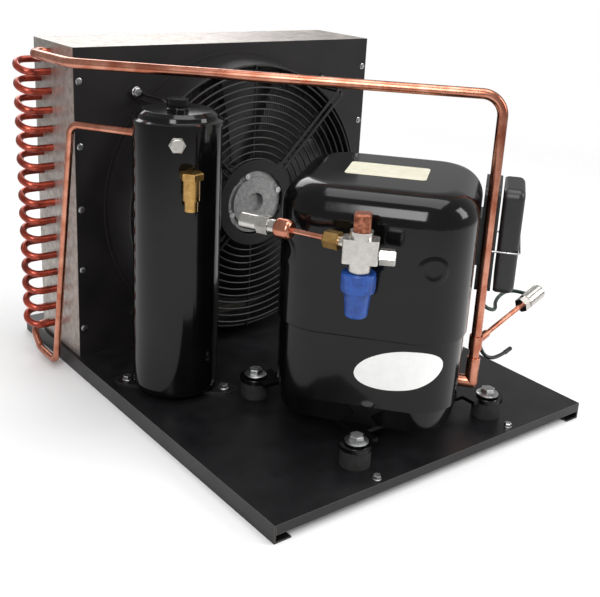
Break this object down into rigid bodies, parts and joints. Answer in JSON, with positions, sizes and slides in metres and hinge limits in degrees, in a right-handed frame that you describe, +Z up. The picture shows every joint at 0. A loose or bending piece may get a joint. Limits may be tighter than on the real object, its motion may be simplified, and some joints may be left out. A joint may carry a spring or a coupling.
{
  "type": "refrigeration condensing unit",
  "caption": "Air-cooled condensing unit: finned coil with fan, hermetic compressor, liquid receiver and copper pipework on a folded base pan.",
  "frame": {"origin": "centre of the four base mounting holes, in the plane the base stands on", "axes": "+X along the coil, +Y from the compressor to the coil, +Z up"},
  "size_m": [0.5728, 0.64, 0.4441],
  "materials": {
    "black_paint": "satin black enamel",
    "gloss_black": "gloss black enamel",
    "galvanised": "galvanised sheet",
    "fins": "bare aluminium fins",
    "copper": "bright drawn copper",
    "brass": "machined brass",
    "nickel": "nickel plated brass",
    "zinc": "zinc plated steel",
    "cast_aluminium": "die cast",
    "steel": "bare steel",
    "iron": "cast iron",
    "impeller_plastic": "moulded",
    "black_plastic": "moulded",
    "blue_plastic": "moulded",
    "rubber": "moulded rubber",
    "lead_black": "cable sheath",
    "lead_grey": "cable sheath"
  },
  "bodies": {
    "unit": {"access_nut": "brass", "access_tube": "copper", "access_valve": "nickel", "arm_bolts": "zinc", "base_pan": "black_paint", "base_studs": "zinc", "box_glands": "black_plastic", "coil_bottom_plate": "galvanised", "coil_fin_pack": "fins", "coil_side_plates": "galvanised", "coil_top_plate": "galvanised", "compressor_bolts": "zinc", "compressor_foot_plate": "gloss_black", "compressor_grommets": "rubber", "compressor_lower_shell": "gloss_black", "compressor_sleeves": "steel", "compressor_stator": "steel", "compressor_upper_shell": "gloss_black", "discharge_line": "copper", "discharge_stub": "copper", "discharge_tee": "copper", "fan_guard": "black_paint", "fan_ring": "black_paint", "fan_shroud": "black_paint", "fusible_plug": "nickel", "heater_lead": "lead_black", "liquid_line": "copper", "liquid_valve_body": "brass", "motor_end_cap": "cast_aluminium", "motor_frame": "black_paint", "motor_screws": "zinc", "motor_shell": "cast_aluminium", "motor_stator": "steel", "pressure_switch": "nickel", "pump_block": "iron", "pump_springs": "steel", "receiver_bolts": "zinc", "receiver_cap": "gloss_black", "receiver_foot": "black_paint", "receiver_shell": "gloss_black", "return_bends": "copper", "shroud_screws": "zinc", "suction_valve_body": "nickel", "switch_lead": "lead_grey", "switch_tube": "copper", "terminal_block": "black_plastic", "terminal_box": "black_plastic"},
    "fan_rotor": {"fan_shaft": "steel", "fan_impeller": "impeller_plastic", "fan_nut": "zinc"},
    "suction_stem": {"suction_valve_stem": "steel"},
    "stem_cap": {"suction_stem_cap": "copper"},
    "gauge_cap": {"gauge_port_cap": "nickel"},
    "dust_cap": {"suction_dust_cap": "blue_plastic"},
    "box_cover": {"terminal_cover": "black_plastic"},
    "bail": {"cover_bail": "steel"},
    "liquid_stem": {"liquid_valve_stem": "steel"},
    "liquid_cap": {"liquid_valve_cap": "brass"},
    "crankshaft": {"crankshaft_rotor": "iron"},
    "pump_piston": {"piston": "iron"}
  },
  "joints": [
    {"name": "fan_spin", "type": "hinge", "parent": "unit", "child": "fan_rotor", "pos_m": [0, 0.146, 0.228], "axis": [0, -1, 0], "continuous": true},
    {"name": "suction_stem_turn", "type": "hinge", "parent": "unit", "child": "suction_stem", "pos_m": [-0.11178, -0.26558, 0.29], "axis": [0, 0, 1], "range_deg": [0, 1440]},
    {"name": "stem_cap_off", "type": "slide", "parent": "unit", "child": "stem_cap", "axis": [0, 0, 1], "range_m": [0, 0.03]},
    {"name": "gauge_cap_off", "type": "slide", "parent": "unit", "child": "gauge_cap", "axis": [0.7193, -0.6947, 0], "range_m": [0, 0.025]},
    {"name": "dust_cap_off", "type": "slide", "parent": "unit", "child": "dust_cap", "axis": [0, 0, -1], "range_m": [0, 0.04]},
    {"name": "box_cover_off", "type": "slide", "parent": "unit", "child": "box_cover", "axis": [0.6428, -0.766, 0], "range_m": [0, 0.04]},
    {"name": "bail_off", "type": "slide", "parent": "box_cover", "child": "bail", "axis": [0.6428, -0.766, 0], "range_m": [0, 0.03]},
    {"name": "liquid_stem_turn", "type": "hinge", "parent": "unit", "child": "liquid_stem", "pos_m": [-0.19717, -0.06298, 0.31], "axis": [0, 0, 1], "range_deg": [0, 1080]},
    {"name": "liquid_cap_off", "type": "slide", "parent": "unit", "child": "liquid_cap", "axis": [0, 0, 1], "range_m": [0, 0.02]},
    {"name": "crankshaft_spin", "type": "hinge", "parent": "unit", "child": "crankshaft", "pos_m": [0.008, -0.172, 0.15], "axis": [0, 0, 1], "continuous": true},
    {"name": "piston_stroke", "type": "slide", "parent": "unit", "child": "pump_piston", "axis": [-0.766, -0.6428, 0], "range_m": [-0.008, 0.008]}
  ]
}
